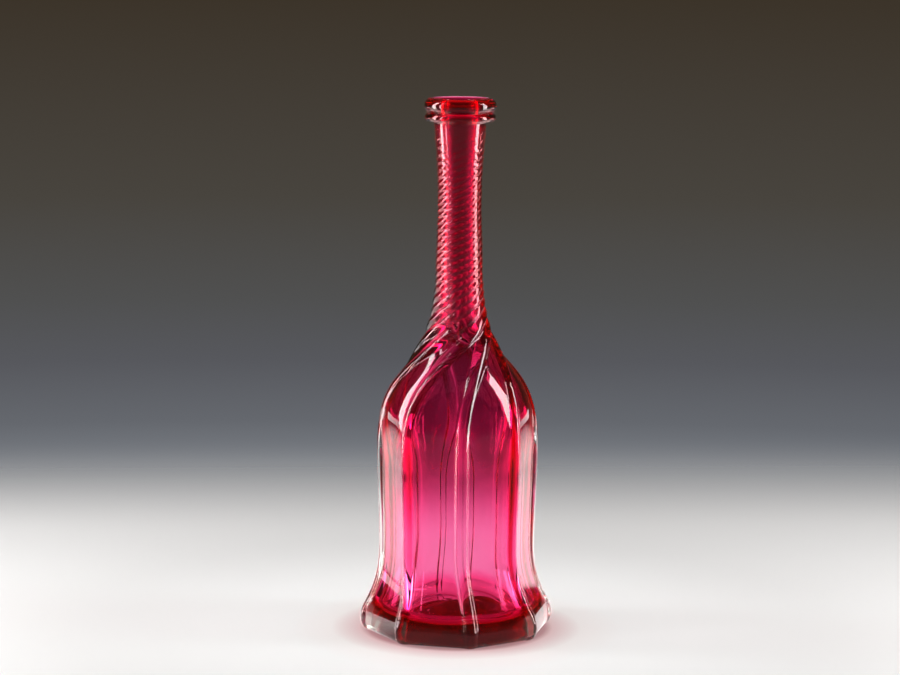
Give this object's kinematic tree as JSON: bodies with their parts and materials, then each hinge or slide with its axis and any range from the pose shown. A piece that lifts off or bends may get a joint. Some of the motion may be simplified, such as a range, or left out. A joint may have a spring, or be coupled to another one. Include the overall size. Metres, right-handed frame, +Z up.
{
  "type": "serving bottle",
  "caption": "Tall ribbed glass serving bottle: ruby lining in a clear casing, octagonal body with a flared foot, ribs twisted up the neck, and a ringed lip.",
  "frame": {"origin": "middle of the foot, on the surface that the bottle stands on", "axes": "+Z up along the bottle's axis, towards the mouth; a rib of the body lies along -Y"},
  "size_m": [0.1158, 0.1158, 0.3178],
  "materials": {
    "clear_casing": "fire-polished clear glass",
    "ruby_lining": "smooth blown ruby glass",
    "lower_lip_ring": "fire-polished clear glass",
    "upper_lip_ring": "fire-polished clear glass"
  },
  "bodies": {
    "root": {"clear_casing": "clear_casing", "ruby_lining": "ruby_lining", "lower_lip_ring": "lower_lip_ring", "upper_lip_ring": "upper_lip_ring"}
  },
  "joints": []
}
